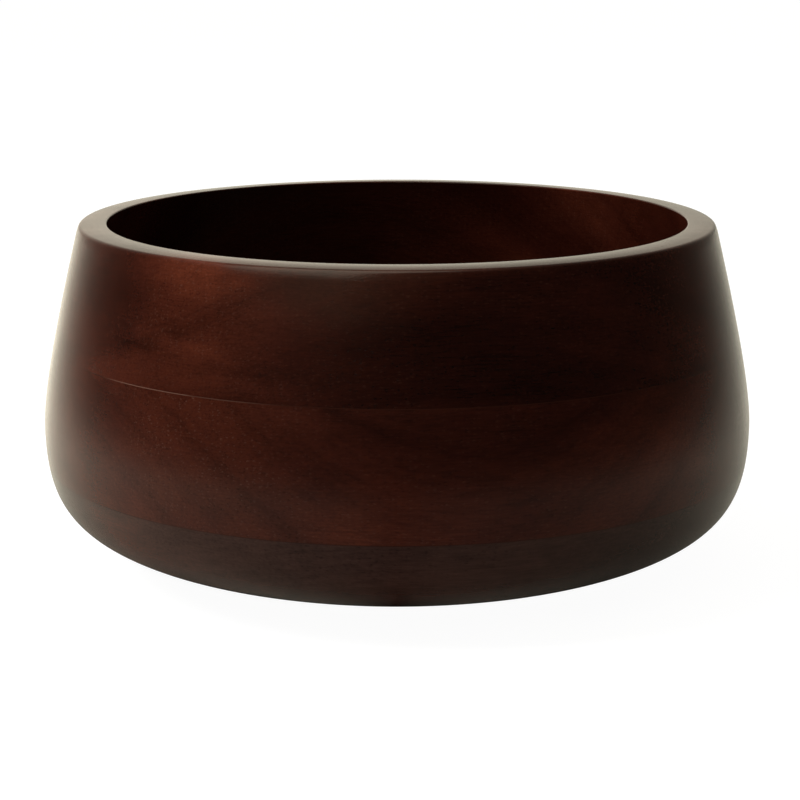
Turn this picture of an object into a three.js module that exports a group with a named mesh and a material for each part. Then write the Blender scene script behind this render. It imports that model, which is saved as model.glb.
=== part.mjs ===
// Wooden serving bowl: three planks laid flat on each other, glued, and turned on a lathe to one smooth form.
// Millimetres, +Z up. The origin is the middle of the foot, on the surface that the bowl stands on.

import * as THREE from 'three';

// Outside of the turned form
const HEIGHT = 145;
const FOOT_DIAMETER = 170;
const BELLY_DIAMETER = 305;
const BELLY_HEIGHT = 59; // level of the widest place
const RIM_DIAMETER = 271;
const UNDERSIDE_RISE = THREE.MathUtils.degToRad(14); // slope of the underside where it leaves the foot
const RIM_LEAN = THREE.MathUtils.degToRad(14); // how far the wall leans in at the rim

// Planks and glue films, from the foot up. The top plank takes what is left below the rim.
const BASE_PLANK = 43.6;
const MIDDLE_PLANK = 50.8;
const GLUE_FILM = 0.3;

// How far the outside holds its direction at each end of its curves
const UNDERSIDE_REACH = 53;
const BILGE_DROP = 42;
const BELLY_RISE = 18;
const RIM_REACH = 28;

// Inside of the turned form
const WALL = 12;
const FLOOR = 15;
const FLOOR_FLAT_DIAMETER = 120;
const FLOOR_REACH = 48;
const INNER_BILGE_DROP = 34;

// Eased edges of the rim's level top, measured back from the sharp corner
const RIM_OUTER_EASE = 1;
const RIM_INNER_EASE = 0.8;

// Shallow hollow turned into the underside, so that the bowl stands on a ring
const RECESS_DIAMETER = 130;
const RECESS_DEPTH = 1.5;
const RECESS_COVE = 4;

// Facets
const AROUND = 72;
const WALL_STEPS = 8;
const BASE_STEPS = 13;
const EASE_STEPS = 3;

// Levels of the planks' glued faces
const baseTop = BASE_PLANK;
const bellyBottom = baseTop + GLUE_FILM;
const bellyTop = bellyBottom + MIDDLE_PLANK;
const rimBottom = bellyTop + GLUE_FILM;

const point = (radius, level) => new THREE.Vector2(radius, level);

// A turned side from its lowest edge, through the widest place, to the rim, as (radius, level).
function turnedSide({ start, startSlope, startReach, belly, bellyDrop, rim }) {
  const side = new THREE.CurvePath();
  side.add(new THREE.CubicBezierCurve(
    start,
    point(start.x + startReach * Math.cos(startSlope), start.y + startReach * Math.sin(startSlope)),
    point(belly.x, belly.y - bellyDrop),
    belly,
  ));
  side.add(new THREE.CubicBezierCurve(
    belly,
    point(belly.x, belly.y + BELLY_RISE),
    point(rim.x + RIM_REACH * Math.sin(RIM_LEAN), rim.y - RIM_REACH * Math.cos(RIM_LEAN)),
    rim,
  ));
  return side;
}

const outerRim = point(RIM_DIAMETER / 2, HEIGHT);
const innerRim = point(outerRim.x - WALL, HEIGHT);

const outside = turnedSide({
  start: point(FOOT_DIAMETER / 2, 0),
  startSlope: UNDERSIDE_RISE,
  startReach: UNDERSIDE_REACH,
  belly: point(BELLY_DIAMETER / 2, BELLY_HEIGHT),
  bellyDrop: BILGE_DROP,
  rim: outerRim,
});

const inside = turnedSide({
  start: point(FLOOR_FLAT_DIAMETER / 2, FLOOR),
  startSlope: 0,
  startReach: FLOOR_REACH,
  belly: point(BELLY_DIAMETER / 2 - WALL, BELLY_HEIGHT),
  bellyDrop: INNER_BILGE_DROP,
  rim: innerRim,
});

// How far along a side a level lies, from 0 at its lowest edge to 1 at the rim.
function fractionAt(side, level) {
  let low = 0;
  let high = 1;
  for (let halving = 0; halving < 50; halving += 1) {
    const middle = (low + high) / 2;
    if (side.getPoint(middle).y < level) {
      low = middle;
    } else {
      high = middle;
    }
  }
  return (low + high) / 2;
}

// Evenly spaced points of a side from one level up to another, with both ends exactly on their levels.
function stretch(side, fromLevel, toLevel, steps) {
  const from = fractionAt(side, fromLevel);
  const to = fractionAt(side, toLevel);
  const points = [];
  for (let step = 0; step <= steps; step += 1) {
    points.push(side.getPoint(from + ((to - from) * step) / steps));
  }
  points[0].y = fromLevel;
  points[steps].y = toLevel;
  return points;
}

// A rounded-off corner between two points, one on each side of it.
function easedCorner(before, corner, after) {
  return new THREE.QuadraticBezierCurve(before, corner, after).getPoints(EASE_STEPS);
}

// Turns a closed section, given as (radius, level) points, about the bowl's upright axis.
function turned(name, section, material) {
  const geometry = new THREE.LatheGeometry(section, AROUND);
  geometry.rotateX(Math.PI / 2);
  const mesh = new THREE.Mesh(geometry, material);
  mesh.name = name;
  return mesh;
}

// A section that runs up the outside and down the inside, and then back to its start.
function ringSection(outerPoints, innerPoints) {
  return [...outerPoints, ...innerPoints.toReversed(), outerPoints[0]];
}

// Bottom plank: the foot ring round its shallow recess, the underside, and the floor of the bowl.
function baseDish() {
  const recessEdge = point(RECESS_DIAMETER / 2, 0);
  const underside = [
    point(0, RECESS_DEPTH),
    point(recessEdge.x - RECESS_COVE, RECESS_DEPTH),
    recessEdge,
  ];
  const wall = stretch(outside, 0, baseTop, BASE_STEPS);
  const floor = stretch(inside, FLOOR, baseTop, BASE_STEPS);
  const section = [...underside, ...wall, ...floor.toReversed(), point(0, FLOOR)];
  return turned('base_dish', section, stainedWood(0x2f1710));
}

// Middle plank: the widest part of the wall, between the two glue films.
function bellyRing() {
  const outer = stretch(outside, bellyBottom, bellyTop, WALL_STEPS);
  const inner = stretch(inside, bellyBottom, bellyTop, WALL_STEPS);
  return turned('belly_ring', ringSection(outer, inner), stainedWood(0x3d1b12));
}

// Top plank: the wall that leans in to the mouth, with the level rim and its eased edges.
function rimRing() {
  const outer = stretch(outside, rimBottom, HEIGHT - RIM_OUTER_EASE, WALL_STEPS);
  const inner = stretch(inside, rimBottom, HEIGHT - RIM_INNER_EASE, WALL_STEPS);
  const outerEase = easedCorner(outer.pop(), outerRim, point(outerRim.x - RIM_OUTER_EASE, HEIGHT));
  const innerEase = easedCorner(inner.pop(), innerRim, point(innerRim.x + RIM_INNER_EASE, HEIGHT));
  const section = ringSection([...outer, ...outerEase], [...inner, ...innerEase]);
  return turned('rim_ring', section, stainedWood(0x3a190f));
}

// Glue film between two planks, as wide as the wall at its level.
function glueLine(name, low, high) {
  const outer = stretch(outside, low, high, 1);
  const inner = stretch(inside, low, high, 1);
  return turned(name, ringSection(outer, inner), driedGlue());
}

function stainedWood(color) {
  return new THREE.MeshStandardMaterial({ color, roughness: 0.4, metalness: 0 });
}

function driedGlue() {
  return new THREE.MeshStandardMaterial({ color: 0x7d5a45, roughness: 0.5, metalness: 0 });
}

const bowl = new THREE.Group();
bowl.add(
  baseDish(),
  glueLine('lower_glue_line', baseTop, bellyBottom),
  bellyRing(),
  glueLine('upper_glue_line', bellyTop, rimBottom),
  rimRing(),
);

export default bowl;
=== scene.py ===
# %% [markdown]
# # A turned wooden serving bowl
# The bowl is glued up from three planks laid flat on each other, turned on a lathe to one smooth form,
# stained dark and sealed with a thin satin lacquer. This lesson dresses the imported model: each plank is
# turned again from a fine section, and gets solid wood that runs right through it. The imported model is
# the fixed frame, in metres, so every piece goes where the frame says and keeps its size.

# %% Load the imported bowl
import math

import bmesh
import bpy
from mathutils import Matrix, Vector
from mathutils.geometry import interpolate_bezier


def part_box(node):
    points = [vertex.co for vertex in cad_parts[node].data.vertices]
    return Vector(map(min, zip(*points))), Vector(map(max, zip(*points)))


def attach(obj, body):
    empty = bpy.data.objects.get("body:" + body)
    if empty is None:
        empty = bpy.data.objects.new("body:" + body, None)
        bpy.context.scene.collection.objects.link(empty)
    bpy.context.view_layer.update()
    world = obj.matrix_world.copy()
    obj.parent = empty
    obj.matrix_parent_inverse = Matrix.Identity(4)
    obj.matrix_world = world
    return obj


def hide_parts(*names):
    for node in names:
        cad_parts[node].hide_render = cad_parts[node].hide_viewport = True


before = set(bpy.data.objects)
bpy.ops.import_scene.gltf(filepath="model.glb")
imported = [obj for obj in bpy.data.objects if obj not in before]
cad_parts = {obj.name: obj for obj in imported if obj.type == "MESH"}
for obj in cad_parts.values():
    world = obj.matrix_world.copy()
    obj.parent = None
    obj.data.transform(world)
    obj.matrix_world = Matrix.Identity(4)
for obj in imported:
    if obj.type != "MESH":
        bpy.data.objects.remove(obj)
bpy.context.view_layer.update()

print("pieces of the packed bowl:", sorted(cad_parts))

# %% [markdown]
# ## The section
# A turner works to a section, which is half of the bowl cut through its axis. Each side of the wall is two
# smooth curves that meet at the belly: one comes up from the foot or the floor, and one leans in to the
# rim. They could be drawn with many points by eye, but a Bézier curve needs only its ends and the way it
# leaves them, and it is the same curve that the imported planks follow. The levels of the glued faces and
# the widest radius are read from the frame.

# %% Sizes of the section, in metres
FOOT_RADIUS = 0.085
RIM_RADIUS = 0.1355
BELLY_LEVEL = 0.059
UNDERSIDE_RISE = math.radians(14)
RIM_LEAN = math.radians(14)
UNDERSIDE_REACH = 0.053
BILGE_DROP = 0.042
BELLY_RISE = 0.018
RIM_REACH = 0.028
WALL = 0.012
FLOOR = 0.015
FLOOR_FLAT_RADIUS = 0.060
FLOOR_REACH = 0.048
INNER_BILGE_DROP = 0.034
SIDE_STEPS = 64

base_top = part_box("base_dish")[1].z
belly_bottom, belly_top = (corner.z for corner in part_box("belly_ring"))
rim_bottom, rim_level = (corner.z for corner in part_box("rim_ring"))
belly_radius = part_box("belly_ring")[1].x
print(f"glued faces at {base_top:.4f}, {belly_bottom:.4f}, {belly_top:.4f} and {rim_bottom:.4f} m")


# %% Both sides of the wall
def turned_side(start, slope, reach, belly, drop, rim):
    """Points up a side of the wall, from its lowest edge past the belly to the rim, as (radius, level)."""
    lower_handle = start + reach * Vector((math.cos(slope), math.sin(slope)))
    upper_handle = rim + RIM_REACH * Vector((math.sin(RIM_LEAN), -math.cos(RIM_LEAN)))
    below = interpolate_bezier(start, lower_handle, belly - Vector((0, drop)), belly, SIDE_STEPS)
    above = interpolate_bezier(belly, belly + Vector((0, BELLY_RISE)), upper_handle, rim, SIDE_STEPS)
    return below + above[1:]


outer_rim = Vector((RIM_RADIUS, rim_level))
inner_rim = Vector((RIM_RADIUS - WALL, rim_level))
outside = turned_side(
    start=Vector((FOOT_RADIUS, 0)),
    slope=UNDERSIDE_RISE,
    reach=UNDERSIDE_REACH,
    belly=Vector((belly_radius, BELLY_LEVEL)),
    drop=BILGE_DROP,
    rim=outer_rim,
)
inside = turned_side(
    start=Vector((FLOOR_FLAT_RADIUS, FLOOR)),
    slope=0,
    reach=FLOOR_REACH,
    belly=Vector((belly_radius - WALL, BELLY_LEVEL)),
    drop=INNER_BILGE_DROP,
    rim=inner_rim,
)
print(f"{len(outside)} points up the outside and {len(inside)} up the inside")


# %% Stretches of a side, straight runs and rounded corners
EASE_STEPS = 9
HANDLE = 2 / 3  # part of the way to a corner where the handles of its curve lie


def at_level(side, level):
    """The point where a side crosses a level."""
    for lower, upper in zip(side, side[1:]):
        if level <= upper.y:
            return lower.lerp(upper, (level - lower.y) / (upper.y - lower.y))
    return side[-1]


def stretch(side, low, high):
    """The points of a side from one level up to another, with both ends exactly on their levels."""
    between = [point for point in side if low < point.y < high]
    return [at_level(side, low), *between, at_level(side, high)]


def straight(start, end, steps):
    """Evenly spaced points from one point up to another, without the last one."""
    return [start.lerp(end, step / steps) for step in range(steps)]


def rounded(before, corner, after):
    """A rounded-off corner between two points, one on each side of it."""
    first_handle = before.lerp(corner, HANDLE)
    last_handle = after.lerp(corner, HANDLE)
    return interpolate_bezier(before, first_handle, last_handle, after, EASE_STEPS)


# %% [markdown]
# ## The lathe
# The planks could be made with the Screw modifier or with Spin, but a small Geometry Nodes tree says more
# plainly what a lathe does: it carries one section round a circle. The section is a mesh of bare edges in
# the XY plane, with X as the radius and Y as the level. Curve to Mesh sweeps it, Merge by Distance closes
# the poles on the axis, and the tree ends in Realize Instances and Set Material.

# %% The lathe as a tree of nodes
FACETS = 288
SWING = 0.1  # radius of the circle that the section is carried round
WELD = 0.000002  # points closer than this become one


def place(tree, kind, inputs=None, **options):
    """Adds a node. Its inputs, by name or position, are linked to sockets or set to values."""
    node = tree.nodes.new(kind)
    for option, value in options.items():
        setattr(node, option, value)
    for key, value in (inputs or {}).items():
        if isinstance(value, bpy.types.NodeSocket):
            tree.links.new(value, node.inputs[key])
        else:
            node.inputs[key].default_value = value
    return node


def lathe_tree():
    """A tree that turns a section of edges about the Z axis."""
    tree = bpy.data.node_groups.new("turn_on_lathe", "GeometryNodeTree")
    socket = tree.interface.new_socket
    socket("Section", in_out="INPUT", socket_type="NodeSocketGeometry")
    socket("Facets", in_out="INPUT", socket_type="NodeSocketInt")
    socket("Swing", in_out="INPUT", socket_type="NodeSocketFloat")
    socket("Weld", in_out="INPUT", socket_type="NodeSocketFloat")
    socket("Finish", in_out="INPUT", socket_type="NodeSocketMaterial")
    socket("Piece", in_out="OUTPUT", socket_type="NodeSocketGeometry")
    given = place(tree, "NodeGroupInput").outputs
    outline = place(tree, "GeometryNodeMeshToCurve", {"Mesh": given["Section"]})
    inwards = place(tree, "ShaderNodeMath", {0: given["Swing"], 1: -1.0}, operation="MULTIPLY")
    shift = place(tree, "ShaderNodeCombineXYZ", {"X": inwards.outputs[0]})
    profile = place(
        tree,
        "GeometryNodeTransform",
        {
            "Geometry": outline.outputs[0],
            "Translation": shift.outputs[0],
            "Rotation": (math.pi, 0, 0),
        },
    )
    circle = place(
        tree,
        "GeometryNodeCurvePrimitiveCircle",
        {"Resolution": given["Facets"], "Radius": given["Swing"]},
    )
    path = place(tree, "GeometryNodeSetCurveNormal", {"Curve": circle.outputs[0]}, mode="Z_UP")
    swept = place(
        tree,
        "GeometryNodeCurveToMesh",
        {"Curve": path.outputs[0], "Profile Curve": profile.outputs[0]},
    )
    welded = place(
        tree,
        "GeometryNodeMergeByDistance",
        {"Geometry": swept.outputs[0], "Distance": given["Weld"]},
    )
    realized = place(tree, "GeometryNodeRealizeInstances", {"Geometry": welded.outputs[0]})
    finished = place(
        tree,
        "GeometryNodeSetMaterial",
        {"Geometry": realized.outputs[0], "Material": given["Finish"]},
    )
    place(tree, "NodeGroupOutput", {"Piece": finished.outputs[0]})
    return tree


LATHE = lathe_tree()
LATHE_INPUTS = {item.name: item.identifier for item in LATHE.interface.items_tree if item.in_out == "INPUT"}
print("lathe tree with", len(LATHE.nodes), "nodes")

# %% Turning a piece
CREASE = math.radians(35)


def turn(name, section, finish, closed):
    """Turns a section on the lathe, and returns the piece as a plain mesh at the origin."""
    edges = [(step, step + 1) for step in range(len(section) - 1)]
    if closed:
        edges.append((len(section) - 1, 0))
    blank_mesh = bpy.data.meshes.new(name + "_section")
    blank_mesh.from_pydata([(point.x, point.y, 0) for point in section], edges, [])
    blank = bpy.data.objects.new(name + "_section", blank_mesh)
    bpy.context.scene.collection.objects.link(blank)
    lathe = blank.modifiers.new("lathe", "NODES")
    lathe.node_group = LATHE
    for socket, value in {"Facets": FACETS, "Swing": SWING, "Weld": WELD, "Finish": finish}.items():
        lathe[LATHE_INPUTS[socket]] = value
    turned = blank.evaluated_get(bpy.context.evaluated_depsgraph_get())
    mesh = bpy.data.meshes.new_from_object(turned)
    mesh.name = name
    bpy.data.objects.remove(blank)
    bpy.data.meshes.remove(blank_mesh)
    mesh.shade_smooth()
    mesh.set_sharp_from_angle(angle=CREASE)
    piece = bpy.data.objects.new(name, mesh)
    bpy.context.scene.collection.objects.link(piece)
    measure = bmesh.new()
    measure.from_mesh(mesh)
    litres = measure.calc_volume(signed=True) * 1000
    loose = sum(not edge.is_manifold for edge in measure.edges)
    measure.free()
    print(f"{name}: {len(mesh.polygons)} faces, {litres:.4f} litres, {loose} open edges")
    return piece


# %% [markdown]
# ## The figure of the wood
# Each plank is flat-sawn, so the yearly rings of the tree are long nested tubes that run along it, with
# their heart above or below the plank. Where the lathe cuts through these tubes they show as nested
# arches. The pattern could be painted on a UV map, but solid wood has to agree on the wall, the rim and
# the inside at once, so it is worked out from the Object coordinates, in millimetres from the heart.

# %% Small helpers for shader trees
NOISE_ROUGHNESS = 0.55


def arithmetic(tree, operation, *values):
    """The result of one Math node."""
    return place(tree, "ShaderNodeMath", dict(enumerate(values)), operation=operation).outputs[0]


def vectors(tree, operation, *values):
    """The result of one Vector Math node."""
    return place(tree, "ShaderNodeVectorMath", dict(enumerate(values)), operation=operation).outputs[0]


def distance_from_zero(tree, vector):
    """The length of a vector."""
    return place(tree, "ShaderNodeVectorMath", {0: vector}, operation="LENGTH").outputs["Value"]


def ranged(tree, value, from_low, from_high, to_low, to_high):
    """A value carried over smoothly from one range to another, and held at its ends."""
    inputs = dict(enumerate((value, from_low, from_high, to_low, to_high)))
    return place(tree, "ShaderNodeMapRange", inputs, interpolation_type="SMOOTHSTEP").outputs[0]


def stretched(tree, vector, lengths):
    """A vector measured in the given lengths along and across the grain."""
    return vectors(tree, "MULTIPLY", vector, tuple(1 / length for length in lengths))


def noise(tree, vector, lengths, detail=2.0):
    """Soft noise whose patches have the given lengths along and across the grain."""
    inputs = {
        "Vector": stretched(tree, vector, lengths),
        "Scale": 1.0,
        "Detail": detail,
        "Roughness": NOISE_ROUGHNESS,
    }
    return place(tree, "ShaderNodeTexNoise", inputs).outputs


def wander(tree, vector, lengths):
    """A push in every direction, round zero, that changes softly over the given lengths."""
    return vectors(tree, "SUBTRACT", noise(tree, vector, lengths)["Color"], (0.5, 0.5, 0.5))


def ramp(tree, factor, stops):
    """A Color Ramp with stops of (position, colour)."""
    node = place(tree, "ShaderNodeValToRGB", {"Fac": factor})
    elements = node.color_ramp.elements
    while len(elements) < len(stops):
        elements.new(1.0)
    for element, (position, colour) in zip(elements, stops):
        element.position = position
        element.color = colour
    return node.outputs["Color"]


def blended(tree, factor, colour, other):
    """One colour blended into another by a factor from 0 to 1."""
    inputs = {"Factor": factor, 6: colour, 7: other}
    return place(tree, "ShaderNodeMix", inputs, data_type="RGBA").outputs[2]


def grey_ramp(tree, factor, stops):
    """A Color Ramp with stops of (position, grey value)."""
    return ramp(tree, factor, [(position, (grey, grey, grey, 1)) for position, grey in stops])


# %% [markdown]
# The figure is one node group that all planks share. Its inputs say where the heart of the tree lies and
# how the plank is turned, and its outputs are the parts of the figure: the depth from the heart, the ring
# lines, the cloudy shade of fibres, stain and lathe marks, and the pores, which are short dashes along the
# grain. Some pores are empty and dark, and some dashes are pale flecks.

# %% The figure as a node group
MILLIMETRES = 1000.0
FULL_DEPTH = 250.0  # depth from the heart, in mm, that counts as 1
WAVERS = (((240, 70, 70), 6.0), ((45, 14, 14), 3.0), ((9, 3.5, 3.5), 1.2))  # patch lengths and reach, in mm
SHADES = (((110, 38, 38), 0.8), ((24, 9, 9), 0.6), ((12, 0.8, 0.8), 0.9))  # patch lengths in mm, and weight
LAYERS = (70, 1.5, 1)  # length and thickness of the fine growth lines, in mm
LAYER_WEIGHT = 0.55
MARKS = (9, 0.6, 0.6)  # length and width of the marks that the lathe left, in mm
MARK_WEIGHT = 0.7
WALL_RADIUS = 140.0  # mean radius of the wall, in mm
PORE_CELL = (2.2, 0.8, 0.8)  # room that one pore takes, in mm
PORE_WAVER = 1.2  # how far the pores are pushed about, in mm
PORE_PUSHES = (1.5, 0.8, 0.8)  # lengths over which that push changes, in mm
PORE_CROWDS = (60, 22, 22)  # length and width of the places with many pores, in mm
PORE_CROWDING = (0.35, 0.65)  # noise where such a place starts, and where it is full
PORE_SPARSE = 0.4  # how much of the pores shows elsewhere
PORE_FADE = (0.16, 0.5)  # where a pore starts to fade and where it ends, as parts of its room
EMPTY_LOTS = 0.62  # each pore draws a lot from 0 to 1, and is empty above this
PALE_LOTS = 0.28  # and is a pale fleck below this
FAINTEST_RING = 0.3
RING_LINE = ((0.0, 1.0), (0.16, 0.2), (0.4, 0.0), (0.65, 0.06), (0.88, 0.5), (1.0, 1.0))


def wavered(tree, grain):
    """The grain with its rings pushed about softly, across the plank only."""
    result = grain
    for lengths, reach in WAVERS:
        push = vectors(tree, "MULTIPLY", wander(tree, grain, lengths), (0, reach, reach))
        result = vectors(tree, "ADD", result, push)
    return result


def ring_lines(tree, depth, width, start):
    """1 on the line that ends a ring and 0 between the lines, stronger on some rings than on others."""
    turns = arithmetic(tree, "DIVIDE", arithmetic(tree, "SUBTRACT", depth, start), width)
    line = grey_ramp(tree, arithmetic(tree, "FRACT", turns), RING_LINE)
    number = arithmetic(tree, "ROUND", turns)
    chance = place(tree, "ShaderNodeTexWhiteNoise", {"W": number}, noise_dimensions="1D").outputs["Value"]
    return arithmetic(tree, "MULTIPLY", line, ranged(tree, chance, 0.0, 1.0, FAINTEST_RING, 1.0))


def cloudy_shade(tree, grain, depth):
    """Stain clouds, blotches, fibres and fine growth lines, added up round 0."""
    along = place(tree, "ShaderNodeSeparateXYZ", {0: grain}).outputs[0]
    layers = place(tree, "ShaderNodeCombineXYZ", {"X": along, "Y": depth}).outputs[0]
    parts = [(noise(tree, grain, lengths)["Fac"], weight) for lengths, weight in SHADES]
    parts.append((noise(tree, layers, LAYERS, detail=3.0)["Fac"], LAYER_WEIGHT))
    shade = 0.0
    for part, weight in parts:
        shade = arithmetic(tree, "MULTIPLY_ADD", arithmetic(tree, "SUBTRACT", part, 0.5), weight, shade)
    return shade


def turning_marks(tree, position):
    """Fine marks of the lathe and the sandpaper, which run round the bowl."""
    parts = place(tree, "ShaderNodeSeparateXYZ", {0: position}).outputs
    angle = arithmetic(tree, "ARCTAN2", parts[0], arithmetic(tree, "MULTIPLY", parts[1], -1.0))
    radius = distance_from_zero(tree, vectors(tree, "MULTIPLY", position, (1, 1, 0)))
    inputs = {
        "X": arithmetic(tree, "MULTIPLY", angle, WALL_RADIUS),
        "Y": arithmetic(tree, "MULTIPLY", radius, MILLIMETRES),
        "Z": arithmetic(tree, "MULTIPLY", parts[2], MILLIMETRES),
    }
    around = place(tree, "ShaderNodeCombineXYZ", inputs).outputs[0]
    return arithmetic(tree, "SUBTRACT", noise(tree, around, MARKS)["Fac"], 0.5)


def pores_and_flecks(tree, grain):
    """Short dashes along the grain: empty pores, and pale flecks."""
    push = vectors(tree, "MULTIPLY", wander(tree, grain, PORE_PUSHES), (PORE_WAVER, PORE_WAVER, PORE_WAVER))
    inputs = {"Vector": stretched(tree, vectors(tree, "ADD", grain, push), PORE_CELL), "Scale": 1.0}
    cells = place(tree, "ShaderNodeTexVoronoi", inputs, feature="F1").outputs
    lot = place(tree, "ShaderNodeSeparateColor", {0: cells["Color"]}).outputs[0]
    crowd = ranged(tree, noise(tree, grain, PORE_CROWDS)["Fac"], *PORE_CROWDING, PORE_SPARSE, 1.0)
    dash = arithmetic(tree, "MULTIPLY", ranged(tree, cells["Distance"], *PORE_FADE, 1.0, 0.0), crowd)
    empty = arithmetic(tree, "MULTIPLY", dash, arithmetic(tree, "GREATER_THAN", lot, EMPTY_LOTS))
    pale_dashes = arithmetic(tree, "MULTIPLY", dash, arithmetic(tree, "LESS_THAN", lot, PALE_LOTS))
    return empty, pale_dashes


def figure_group():
    """A node group that gives the figure of a plank."""
    tree = bpy.data.node_groups.new("plank_figure", "ShaderNodeTree")
    socket = tree.interface.new_socket
    socket("Heart", in_out="INPUT", socket_type="NodeSocketVector")
    socket("Lie", in_out="INPUT", socket_type="NodeSocketVector")
    socket("Ring width", in_out="INPUT", socket_type="NodeSocketFloat")
    socket("Ring start", in_out="INPUT", socket_type="NodeSocketFloat")
    for name in ("Depth", "Rings", "Shade", "Pores", "Flecks"):
        socket(name, in_out="OUTPUT", socket_type="NodeSocketFloat")
    given = place(tree, "NodeGroupInput").outputs
    position = place(tree, "ShaderNodeTexCoord").outputs["Object"]
    inputs = {
        "Vector": position,
        "Location": given["Heart"],
        "Rotation": given["Lie"],
        "Scale": (MILLIMETRES, MILLIMETRES, MILLIMETRES),
    }
    grain = place(tree, "ShaderNodeMapping", inputs).outputs[0]
    across = vectors(tree, "MULTIPLY", wavered(tree, grain), (0, 1, 1))
    depth = distance_from_zero(tree, across)
    empty, pale_dashes = pores_and_flecks(tree, grain)
    shade = cloudy_shade(tree, grain, depth)
    shade = arithmetic(tree, "MULTIPLY_ADD", turning_marks(tree, position), MARK_WEIGHT, shade)
    outputs = {
        "Depth": arithmetic(tree, "DIVIDE", depth, FULL_DEPTH),
        "Rings": ring_lines(tree, depth, given["Ring width"], given["Ring start"]),
        "Shade": shade,
        "Pores": empty,
        "Flecks": pale_dashes,
    }
    place(tree, "NodeGroupOutput", outputs)
    return tree


FIGURE = figure_group()
print("plank figure with", len(FIGURE.nodes), "nodes")

# %% [markdown]
# ## Stain and lacquer
# The stain soaks in unevenly: the core of the top plank took it almost black, and a patch beside it stayed
# warm. Each plank therefore gets its own tone by depth from the heart, as stops of a Color Ramp, and a few
# soft patches. One patch on the middle plank is painted light, thrown up by the paper on its lower front. A
# second Color Ramp turns tone into stain, because the stain's hue changes with its depth. The thin lacquer
# reflects little straight on and much at a glancing angle, so its IOR is low, and a greyish painted sheen
# stands for light that it reflects in one place under the rim.

# %% A stained plank
YAW = math.radians(11.7)  # how far the grain is turned from the X axis
RED_BROWN = (  # colour of the stain by tone
    (0.1, (0.0062, 0.0007, 0.0003, 1)),
    (0.5, (0.048, 0.0098, 0.0048, 1)),
    (1.0, (0.109, 0.0240, 0.0108, 1)),
)
GREY_BROWN = (  # colour of the bottom plank's stain by tone
    (0.1, (0.0090, 0.0030, 0.0018, 1)),
    (0.5, (0.050, 0.0220, 0.0158, 1)),
    (1.0, (0.125, 0.0330, 0.0190, 1)),
)
PATCH_WAVER = 0.03  # how far the edge of a patch is pushed about, in metres
PATCH_PUSHES = (0.03, 0.03, 0.012)  # lengths over which that push changes, in metres
SHADE_DEPTH = 0.75
PORE_DEPTH = 0.3
PALE_FLECK = (0.108, 0.048, 0.032, 1)
PAINTED_SHEEN_COLOUR = (0.045, 0.040, 0.026, 1)  # painted sheen: greyish colour that stands for light reflected by the lacquer
SHEEN = 0.22  # roughness of the lacquer
SHEEN_SPREAD = 0.06
LACQUER_IOR = 1.27
RELIEF = 0.00007  # depth of the fibres and pores under the lacquer, in metres
RELIEF_STRENGTH = 0.3


def soft_patch(tree, centre, reach, tilt=0.0):
    """1 in the middle of an uneven patch and 0 outside it, with its centre and reach in metres."""
    coordinates = place(tree, "ShaderNodeTexCoord").outputs["Object"]
    push = wander(tree, coordinates, PATCH_PUSHES)
    push = vectors(tree, "MULTIPLY", push, (PATCH_WAVER, PATCH_WAVER, PATCH_WAVER / 2))
    inputs = {
        "Vector": vectors(tree, "ADD", coordinates, push),
        "Location": centre,
        "Rotation": (0, tilt, YAW),
        "Scale": reach,
    }
    inside_patch = place(tree, "ShaderNodeMapping", inputs, vector_type="TEXTURE").outputs[0]
    return ranged(tree, distance_from_zero(tree, inside_patch), 0.0, 1.0, 1.0, 0.0)


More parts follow.
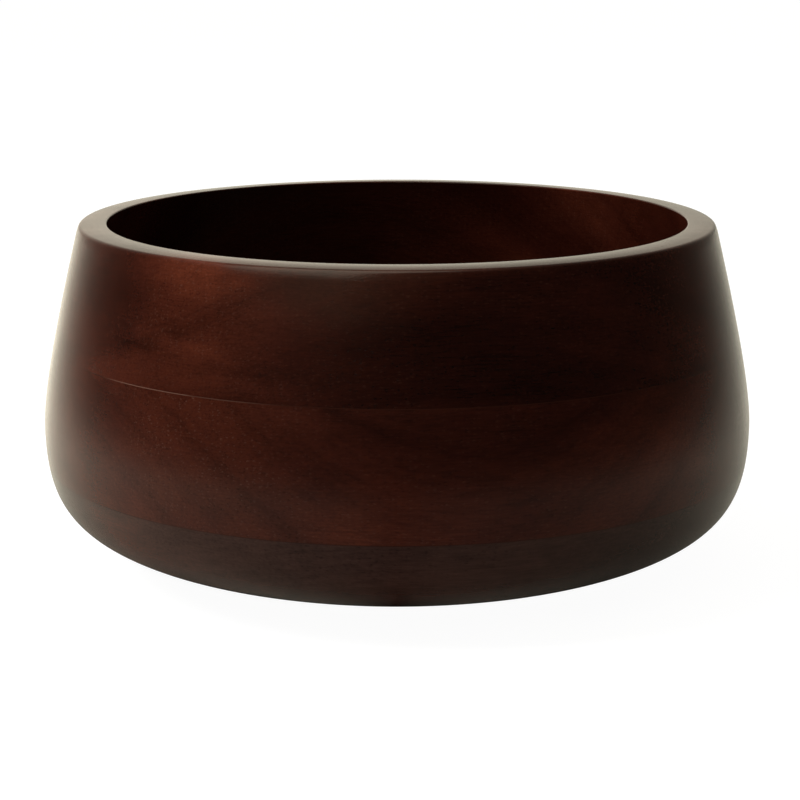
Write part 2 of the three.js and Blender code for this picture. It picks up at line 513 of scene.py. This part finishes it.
def stained_plank(
    name,
    heart,
    ring_width,
    ring_start,
    ring_strength,
    tones,
    stain,
    fleck_show,
    patches=(),
    open_grain=(),
    painted_sheens=(),
):
    """Stained wood under satin lacquer.

    Tones are (depth in mm, tone), and a tone of 0.5 is the plain stain. Patches that change the tone are
    (centre, reach, tilt, amount). Flecks show more in places of open grain, and painted sheens blend the
    colour towards grey where light reflected by the lacquer is painted in. Both kinds of places are
    (centre, reach, amount).
    """
    finish = bpy.data.materials.new(name)
    finish.use_nodes = True
    tree = finish.node_tree
    tree.nodes.clear()
    figure = place(tree, "ShaderNodeGroup", node_tree=FIGURE)
    figure.inputs["Heart"].default_value = [-offset for offset in heart]
    figure.inputs["Lie"].default_value = (0, 0, -YAW)
    figure.inputs["Ring width"].default_value = ring_width
    figure.inputs["Ring start"].default_value = ring_start
    seen = figure.outputs
    tone = grey_ramp(tree, seen["Depth"], [(depth / FULL_DEPTH, value) for depth, value in tones])
    for centre, reach, tilt, amount in patches:
        factor = arithmetic(tree, "MULTIPLY_ADD", soft_patch(tree, centre, reach, tilt), amount, 1.0)
        tone = arithmetic(tree, "MULTIPLY", tone, factor)
    openness = 1.0
    for centre, reach, amount in open_grain:
        openness = arithmetic(tree, "MULTIPLY_ADD", soft_patch(tree, centre, reach), amount, openness)
    flecks = arithmetic(tree, "MULTIPLY", seen["Flecks"], openness)
    for part, amount in (
        (seen["Rings"], -ring_strength),
        (seen["Shade"], SHADE_DEPTH),
        (seen["Pores"], -PORE_DEPTH),
    ):
        tone = arithmetic(tree, "MULTIPLY", tone, arithmetic(tree, "MULTIPLY_ADD", part, amount, 1.0))
    fleck = arithmetic(tree, "MULTIPLY", arithmetic(tree, "MULTIPLY", flecks, tone), fleck_show)
    colour = blended(tree, fleck, ramp(tree, tone, stain), PALE_FLECK)
    # painted sheens: greyish patches that stand for light reflected by the lacquer
    for centre, reach, amount in painted_sheens:
        sheen_mask = arithmetic(tree, "MULTIPLY", soft_patch(tree, centre, reach), amount)
        colour = blended(tree, sheen_mask, colour, PAINTED_SHEEN_COLOUR)
    height = arithmetic(tree, "SUBTRACT", seen["Shade"], seen["Pores"])
    relief = {"Strength": RELIEF_STRENGTH, "Distance": RELIEF, "Height": height}
    bump = place(tree, "ShaderNodeBump", relief)
    inputs = {
        "Base Color": colour,
        "Roughness": arithmetic(tree, "MULTIPLY_ADD", seen["Shade"], -SHEEN_SPREAD, SHEEN),
        "IOR": LACQUER_IOR,
        "Normal": bump.outputs[0],
    }
    shader = place(tree, "ShaderNodeBsdfPrincipled", inputs)
    place(tree, "ShaderNodeOutputMaterial", {"Surface": shader.outputs[0]})
    print(f"{name}: {len(tree.nodes)} nodes, {len(patches)} patches")
    return finish


# %% The three planks' own wood
rim_wood = stained_plank(
    "rim_wood",
    heart=(0, -34, 217),
    ring_width=23.0,
    ring_start=115.7,
    ring_strength=0.16,
    tones=(
        (70, 0.45),
        (95, 0.50),
        (113, 0.50),
        (117, 0.45),
        (123, 0.48),
        (132, 0.48),
        (141, 0.33),
        (152, 0.22),
        (166, 0.24),
        (176, 0.40),
        (194, 0.48),
        (212, 0.34),
        (240, 0.48),
    ),
    stain=RED_BROWN,
    fleck_show=0.45,
    patches=(
        ((-0.075, -0.115, 0.140), (0.022, 0.06, 0.012), 0.2, 0.65),
        ((-0.082, -0.117, 0.113), (0.030, 0.05, 0.005), 0.25, 0.35),
        ((-0.109, -0.087, 0.126), (0.052, 0.06, 0.038), 0.0, -0.5),
        ((-0.104, -0.099, 0.111), (0.018, 0.04, 0.005), 0.0, -0.2),
        ((-0.052, -0.128, 0.128), (0.022, 0.05, 0.010), 0.0, 0.3),
        ((0.008, -0.140, 0.125), (0.100, 0.09, 0.026), 0.0, -0.5),
        ((0.075, -0.115, 0.140), (0.105, 0.08, 0.020), 0.0, -0.45),
        ((0.098, -0.098, 0.123), (0.055, 0.08, 0.030), 0.0, -0.42),
        ((-0.052, -0.131, 0.097), (0.040, 0.06, 0.009), 0.0, 0.7),
        ((0.045, -0.140, 0.100), (0.075, 0.08, 0.012), 0.0, -0.25),
        ((0.092, -0.112, 0.101), (0.055, 0.08, 0.014), 0.0, 0.3),
        ((0.065, 0.108, 0.122), (0.045, 0.06, 0.045), 0.0, 0.5),
        ((0.122, 0.040, 0.128), (0.045, 0.07, 0.045), 0.0, -0.5),
    ),
    open_grain=(((-0.080, -0.115, 0.118), (0.085, 0.08, 0.040), 0.5),),
    # painted sheen: a greyish patch under the front of the rim for light that the lacquer reflects
    painted_sheens=(((-0.027, -0.131, 0.146), (0.055, 0.06, 0.034), 0.18),),
)
belly_wood = stained_plank(
    "belly_wood",
    heart=(0, -24, -14.6),
    ring_width=14.4,
    ring_start=128.4,
    ring_strength=0.3,
    tones=(
        (80, 0.56),
        (112, 0.54),
        (128, 0.48),
        (136, 0.48),
        (145, 0.38),
        (151, 0.37),
        (158, 0.33),
        (168, 0.35),
        (182, 0.46),
        (202, 0.38),
        (230, 0.50),
    ),
    stain=RED_BROWN,
    fleck_show=0.42,
    patches=(
        ((-0.118, -0.093, 0.086), (0.040, 0.06, 0.022), 0.0, -0.3),
        ((-0.107, -0.107, 0.070), (0.045, 0.07, 0.030), 0.0, -0.18),
        ((-0.045, -0.138, 0.092), (0.045, 0.06, 0.012), 0.0, 0.35),
        ((0.045, -0.140, 0.091), (0.070, 0.08, 0.016), 0.0, -0.25),
        ((0.100, -0.114, 0.068), (0.060, 0.06, 0.020), 0.0, 0.35),
        # painted light: lightens the lower front of the middle plank for light thrown up by the paper
        ((0.002, -0.150, 0.051), (0.062, 0.08, 0.020), 0.0, 0.5),
    ),
    open_grain=(((-0.075, -0.125, 0.082), (0.085, 0.08, 0.036), 1.5),),
)
base_wood = stained_plank(
    "base_wood",
    heart=(0, -30, 330),
    ring_width=9.0,
    ring_start=100.0,
    ring_strength=0.12,
    tones=((60, 0.42), (200, 0.46), (250, 0.42)),
    stain=GREY_BROWN,
    fleck_show=0.25,
    patches=(
        ((-0.105, -0.085, 0.030), (0.060, 0.08, 0.030), 0.0, 0.5),
        ((0.075, -0.120, 0.030), (0.080, 0.08, 0.030), 0.0, -0.22),
    ),
)

# %% [markdown]
# ## Glue
# The glue films are hairlines. They took the same stain and hardly show, but on the left of the upper seam
# the glue line is pale, and it fades out beside that. Two soft patches on a Color Ramp are enough for this.

# %% Dried glue
DARK_GLUE = (0.030, 0.0085, 0.0045, 1)
PALE_GLUE = (0.115, 0.0570, 0.0400, 1)
FAINT = 0.3  # how far the glue beside the pale stretch is from dark to pale
glue = bpy.data.materials.new("dried_glue")
glue.use_nodes = True
tree = glue.node_tree
tree.nodes.clear()
# the glue line is pale on the left of the upper seam, and faintly pale beside that
pale_stretch = soft_patch(tree, (-0.0945, -0.1155, 0.095), (0.030, 0.04, 0.03))
faint_stretch = soft_patch(tree, (-0.066, -0.134, 0.095), (0.032, 0.05, 0.03))
shown = arithmetic(tree, "MAXIMUM", pale_stretch, arithmetic(tree, "MULTIPLY", faint_stretch, FAINT))
glue_colour = ramp(tree, shown, ((0.05, DARK_GLUE), (0.6, PALE_GLUE)))
inputs = {"Base Color": glue_colour, "Roughness": SHEEN, "IOR": LACQUER_IOR}
shader = place(tree, "ShaderNodeBsdfPrincipled", inputs)
place(tree, "ShaderNodeOutputMaterial", {"Surface": shader.outputs[0]})
print("glue with", len(tree.nodes), "nodes")

# %% [markdown]
# ## The planks
# The top plank is the ring round the mouth. Its top falls off a little towards the outside, a soft shoulder
# runs round under it, and sandpaper eased both of its edges. The middle plank is the widest ring. The
# bottom plank is a dish: the floor inside, and underneath a foot ring round a shallow hollow, which keeps
# the bowl from rocking.

# %% Top plank
RIM_OUTER_EASE = 0.0010
RIM_INNER_EASE = 0.0008
RIM_CROWN = 0.0005  # how far the top falls off towards its outer edge
RIM_CREST = 0.3  # where the top is level, as a fraction of its width from the inner edge
RIM_STEPS = 12
SHOULDER = 0.005  # height of the soft shoulder under the rim
SHOULDER_FALL = 0.0006  # how far the shoulder draws in up to the level of the rim
SHOULDER_STEPS = 8

top_inner = inner_rim + Vector((RIM_INNER_EASE, 0))
top_outer = outer_rim - Vector((RIM_OUTER_EASE + SHOULDER_FALL, 0))
outer_slope = 2 * RIM_CROWN / (1 - RIM_CREST) / (top_outer.x - top_inner.x)


def crowned(point):
    """A point of the rim's flat top, lowered to its crowned form."""
    outwards = (point.x - top_inner.x) / (top_outer.x - top_inner.x)
    return point - Vector((0, RIM_CROWN * ((outwards - RIM_CREST) / (1 - RIM_CREST)) ** 2))


def shouldered(level):
    """The point of the outside at a level of the shoulder, drawn in."""
    rise = 1 - (rim_level - level) / SHOULDER
    return at_level(outside, level) - Vector((SHOULDER_FALL * rise ** 2, 0))


top = [crowned(point) for point in straight(top_outer, top_inner, RIM_STEPS)]
outer_corner = shouldered(top[0].y - outer_slope * RIM_OUTER_EASE)
shoulder_foot = rim_level - SHOULDER
shoulder_step = (outer_corner.y - RIM_OUTER_EASE - shoulder_foot) / SHOULDER_STEPS
shoulder = [shouldered(shoulder_foot + step * shoulder_step) for step in range(1, SHOULDER_STEPS + 1)]
outer = [*stretch(outside, rim_bottom, shoulder_foot), *shoulder]
inner = stretch(inside, rim_bottom, rim_level - RIM_INNER_EASE)
outer_edge = rounded(outer.pop(), outer_corner, top.pop(0))
inner_edge = rounded(top.pop(), inner_rim, inner.pop())
section = [*outer, *outer_edge, *top, *inner_edge, *reversed(inner)]
rim_plank = turn("rim_plank", section[::-1], rim_wood, closed=True)

# %% Middle plank
outer = stretch(outside, belly_bottom, belly_top)
inner = stretch(inside, belly_bottom, belly_top)
belly_plank = turn("belly_plank", [*inner, *reversed(outer)], belly_wood, closed=True)

# %% Bottom plank
RECESS_RADIUS = 0.065
RECESS_DEPTH = 0.0015
RECESS_COVE = 0.004
FLAT_STEPS = 8
FOOT_STEPS = 3

recess_flat = Vector((RECESS_RADIUS - RECESS_COVE, RECESS_DEPTH))
cove = rounded(recess_flat, Vector((RECESS_RADIUS, RECESS_DEPTH)), Vector((RECESS_RADIUS, 0)))
recess = straight(Vector((0, RECESS_DEPTH)), recess_flat, FLAT_STEPS)
foot = straight(cove.pop(), outside[0], FOOT_STEPS)
wall = stretch(outside, outside[0].y, base_top)
hollow = stretch(inside, inside[0].y, base_top)[1:]
floor_flat = straight(Vector((0, FLOOR)), hollow[0], FLAT_STEPS)
section = [*recess, *cove, *foot, *wall, *reversed(hollow), *reversed(floor_flat)]
base_plank = turn("base_plank", section[::-1], base_wood, closed=False)


# %% Glue films
def glue_film(name, low, high):
    """A hairline of glue between two levels, as wide as the wall."""
    inner_face = [at_level(inside, low), at_level(inside, high)]
    outer_face = [at_level(outside, high), at_level(outside, low)]
    return turn(name, inner_face + outer_face, glue, closed=True)


lower_glue = glue_film("lower_glue", base_top, belly_bottom)
upper_glue = glue_film("upper_glue", belly_top, rim_bottom)

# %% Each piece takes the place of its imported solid
for piece, node, slot in (
    (rim_plank, "rim_ring", "rim_wood"),
    (belly_plank, "belly_ring", "belly_wood"),
    (base_plank, "base_dish", "base_wood"),
    (upper_glue, "upper_glue_line", "glue"),
    (lower_glue, "lower_glue_line", "glue"),
):
    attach(piece, "root")
    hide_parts(node)
    print(piece.name, "replaces", node)

# %% [markdown]
# ## The studio
# The bowl stands on white paper that sweeps up behind it. Most of what the lacquer mirrors comes from
# behind and below, so the edges of the wall and the rim shine while the front stays dark. Large softboxes
# could do all of this, but a glow that depends on direction is easier to steer: it is bright behind the
# bowl and falls off to the front. The paper that the lacquer mirrors is also darker under the bowl's
# overhang. The camera itself sees plain white, through Light Path's Is Camera Ray.

# %% A glow by direction
WARM = (1.0, 0.95, 0.77, 1)
SIDEWAYS = 0.6  # how far to each side of a unit direction the glow goes on changing


def glow_strength(tree, direction, behind, fall, right):
    """Brightness that is greatest behind the bowl, less on the right, and least in front."""
    unit = vectors(tree, "NORMALIZE", direction)
    parts = place(tree, "ShaderNodeSeparateXYZ", {0: unit}).outputs
    depth = arithmetic(tree, "MULTIPLY_ADD", parts[1], 0.5, 0.5)
    glow = arithmetic(tree, "MULTIPLY", arithmetic(tree, "POWER", depth, fall), behind)
    return arithmetic(tree, "MULTIPLY", glow, ranged(tree, parts[0], -SIDEWAYS, SIDEWAYS, 1.0, right))


# %% The backdrop
HORIZON = (0.11, 0.18)  # rise of a unit direction where the dimmer horizon starts to end, and ends
HORIZON_LIGHT = 0.72  # part of the glow that is left at the horizon
OVERHEAD_LIGHT = 0.3
EVEN_LIGHT = 0.04

world = bpy.data.worlds.new("studio")
world.use_nodes = True
bpy.context.scene.world = world
tree = world.node_tree
tree.nodes.clear()
ray = place(tree, "ShaderNodeLightPath").outputs
direction = place(tree, "ShaderNodeTexCoord").outputs["Generated"]
wide_glow = glow_strength(tree, direction, behind=1.5, fall=8.0, right=0.42)
narrow_glow = glow_strength(tree, direction, behind=0.55, fall=50.0, right=0.6)
rise = place(tree, "ShaderNodeSeparateXYZ", {0: direction}).outputs[2]
glow = arithmetic(tree, "ADD", wide_glow, narrow_glow)
glow = arithmetic(tree, "MULTIPLY", glow, ranged(tree, rise, *HORIZON, HORIZON_LIGHT, 1.0))
overhead = arithmetic(tree, "POWER", arithmetic(tree, "MAXIMUM", rise, 0.0), 3.0)
overhead = arithmetic(tree, "MULTIPLY_ADD", overhead, OVERHEAD_LIGHT, EVEN_LIGHT)
sky = arithmetic(tree, "ADD", glow, overhead)
around = place(tree, "ShaderNodeBackground", {"Color": WARM, "Strength": sky})
white = place(tree, "ShaderNodeBackground", {"Color": (1, 1, 1, 1), "Strength": 1.0})
inputs = {0: ray["Is Camera Ray"], 1: around.outputs[0], 2: white.outputs[0]}
seen = place(tree, "ShaderNodeMixShader", inputs)
place(tree, "ShaderNodeOutputWorld", {"Surface": seen.outputs[0]})
print("backdrop with", len(tree.nodes), "nodes")

# %% The paper floor
PAPER_REACH = 30.0
PAPER_LEVEL = -0.0001
POOL_RADIUS = 0.6  # distance where the pool of light round the bowl has fallen to a half
POOL_START = (0.12, 0.45)  # distances where the pool starts to grow, and where it is full
POOL_AT_FOOT = 0.52  # part of the pool that reaches the foot
SHADE_END = (0.10, 0.21)  # distances where the shade under the overhang starts to end, and ends
SHADE_FRONT = (-0.15, -0.08)  # from in front of the bowl, where there is no such shade, to beside it
SHADE_STRENGTH = 0.95
PAPER_BOUNCE = (0.8, 0.8, 0.8, 1)  # colour of the paper for the light that it throws on the wood
PAPER_SHADOW = (0.2, 0.2, 0.2, 1)  # part of the paper that shows the bowl's shadow to the camera
PAPER_WHITE = 0.96

paper_mesh = bpy.data.meshes.new("paper_floor")
sides = ((-1, -1), (1, -1), (1, 1), (-1, 1))
corners = [(x * PAPER_REACH, y * PAPER_REACH, PAPER_LEVEL) for x, y in sides]
paper_mesh.from_pydata(corners, [], [(0, 1, 2, 3)])
paper_floor = bpy.data.objects.new("paper_floor", paper_mesh)
bpy.context.scene.collection.objects.link(paper_floor)

paper = bpy.data.materials.new("paper")
paper.use_nodes = True
paper_mesh.materials.append(paper)
tree = paper.node_tree
tree.nodes.clear()
ray = place(tree, "ShaderNodeLightPath").outputs
position = place(tree, "ShaderNodeTexCoord").outputs["Object"]
far_glow = glow_strength(tree, position, behind=2.0, fall=8.0, right=0.52)
pool = glow_strength(tree, position, behind=2.3, fall=0.38, right=0.5)
away = distance_from_zero(tree, position)
spread = arithmetic(tree, "POWER", arithmetic(tree, "DIVIDE", away, POOL_RADIUS), 2.0)
pool = arithmetic(tree, "DIVIDE", pool, arithmetic(tree, "ADD", spread, 1.0))
pool = arithmetic(tree, "MULTIPLY", pool, ranged(tree, away, *POOL_START, POOL_AT_FOOT, 1.0))
backwards = place(tree, "ShaderNodeSeparateXYZ", {0: position}).outputs[1]
shade = ranged(tree, backwards, *SHADE_FRONT, 0.0, SHADE_STRENGTH)
shade = arithmetic(tree, "MULTIPLY", shade, ranged(tree, away, *SHADE_END, 1.0, 0.0))
floor_glow = arithmetic(tree, "ADD", far_glow, pool)
floor_glow = arithmetic(tree, "MULTIPLY", floor_glow, arithmetic(tree, "SUBTRACT", 1.0, shade))
pale = place(tree, "ShaderNodeBsdfDiffuse", {"Color": PAPER_BOUNCE})
shine = place(tree, "ShaderNodeEmission", {"Color": WARM, "Strength": floor_glow})
mirrored = arithmetic(tree, "MAXIMUM", ray["Is Glossy Ray"], ray["Is Transmission Ray"])
lit = place(tree, "ShaderNodeMixShader", {0: mirrored, 1: pale.outputs[0], 2: shine.outputs[0]})
shaded = place(tree, "ShaderNodeBsdfDiffuse", {"Color": PAPER_SHADOW})
bright = place(tree, "ShaderNodeEmission", {"Color": (1, 1, 1, 1), "Strength": PAPER_WHITE})
plain = place(tree, "ShaderNodeAddShader", {0: shaded.outputs[0], 1: bright.outputs[0]})
inputs = {0: ray["Is Camera Ray"], 1: lit.outputs[0], 2: plain.outputs[0]}
seen = place(tree, "ShaderNodeMixShader", inputs)
place(tree, "ShaderNodeOutputMaterial", {"Surface": seen.outputs[0]})
print("paper floor with", len(tree.nodes), "nodes")

# %% [markdown]
# ## Softboxes
# One large softbox on the left lights the wood, and two weak ones keep the front and the right readable.
# The lacquer mirrors the paper and hardly the lamps, as through a polarizing filter, so these three are
# hidden from glossy rays. A fourth one does the reverse: it only leaves a faint haze under the rim.

# %% Four softboxes
BOWL_MIDDLE = Vector((0, 0, 0.08))


def softbox(name, azimuth, elevation, distance, size, power, lights_wood=True, colour=(1, 1, 1)):
    """A lamp that faces the bowl. Azimuth 0 is in front of the bowl, and positive is to the right."""
    lamp = bpy.data.lights.new(name, "AREA")
    lamp.shape = "RECTANGLE"
    lamp.size, lamp.size_y = size
    lamp.energy = power
    lamp.color = colour
    box = bpy.data.objects.new(name, lamp)
    around_bowl, up = math.radians(azimuth), math.radians(elevation)
    level = Vector((math.sin(around_bowl), -math.cos(around_bowl), 0))
    outwards = math.cos(up) * level + Vector((0, 0, math.sin(up)))
    box.location = BOWL_MIDDLE + distance * outwards
    box.rotation_euler = (-outwards).to_track_quat("-Z", "Y").to_euler()
    box.visible_camera = False
    box.visible_diffuse = lights_wood
    box.visible_glossy = not lights_wood
    bpy.context.scene.collection.objects.link(box)
    print(f"{name}: {power} W at {tuple(round(value, 2) for value in box.location)}")


softbox("key", azimuth=-90, elevation=50, distance=1.3, size=(1.0, 1.0), power=25.0)
softbox("fill", azimuth=-35, elevation=24, distance=1.6, size=(0.5, 0.5), power=0.9)
softbox("side", azimuth=100, elevation=35, distance=1.5, size=(0.8, 0.8), power=0.6)
softbox(
    "haze",
    azimuth=-38,
    elevation=60,
    distance=1.6,
    size=(1.4, 2.0),
    power=33.0,
    lights_wood=False,
    colour=WARM[:3],
)

# %% [markdown]
# ## The camera
# The photograph was taken from a little above the rim with a long lens, so the mouth shows as a narrow
# ellipse. The camera stands in front of the bowl at that height and tilts down to it.

# %% Camera and colours
SENSOR_WIDTH = 36  # mm
LENS = 94.9  # mm
EYE = (0, -0.9, 0.2727)
LOOK_DOWN = 13.036  # degrees below level
LOOK_RIGHT = 0.078  # degrees

camera = bpy.data.cameras.new("camera")
camera.sensor_width = SENSOR_WIDTH
camera.lens = LENS
eye = bpy.data.objects.new("camera", camera)
eye.location = EYE
eye.rotation_euler = (math.radians(90 - LOOK_DOWN), 0, math.radians(-LOOK_RIGHT))
bpy.context.scene.collection.objects.link(eye)
bpy.context.scene.camera = eye
bpy.context.scene.view_settings.view_transform = "Standard"
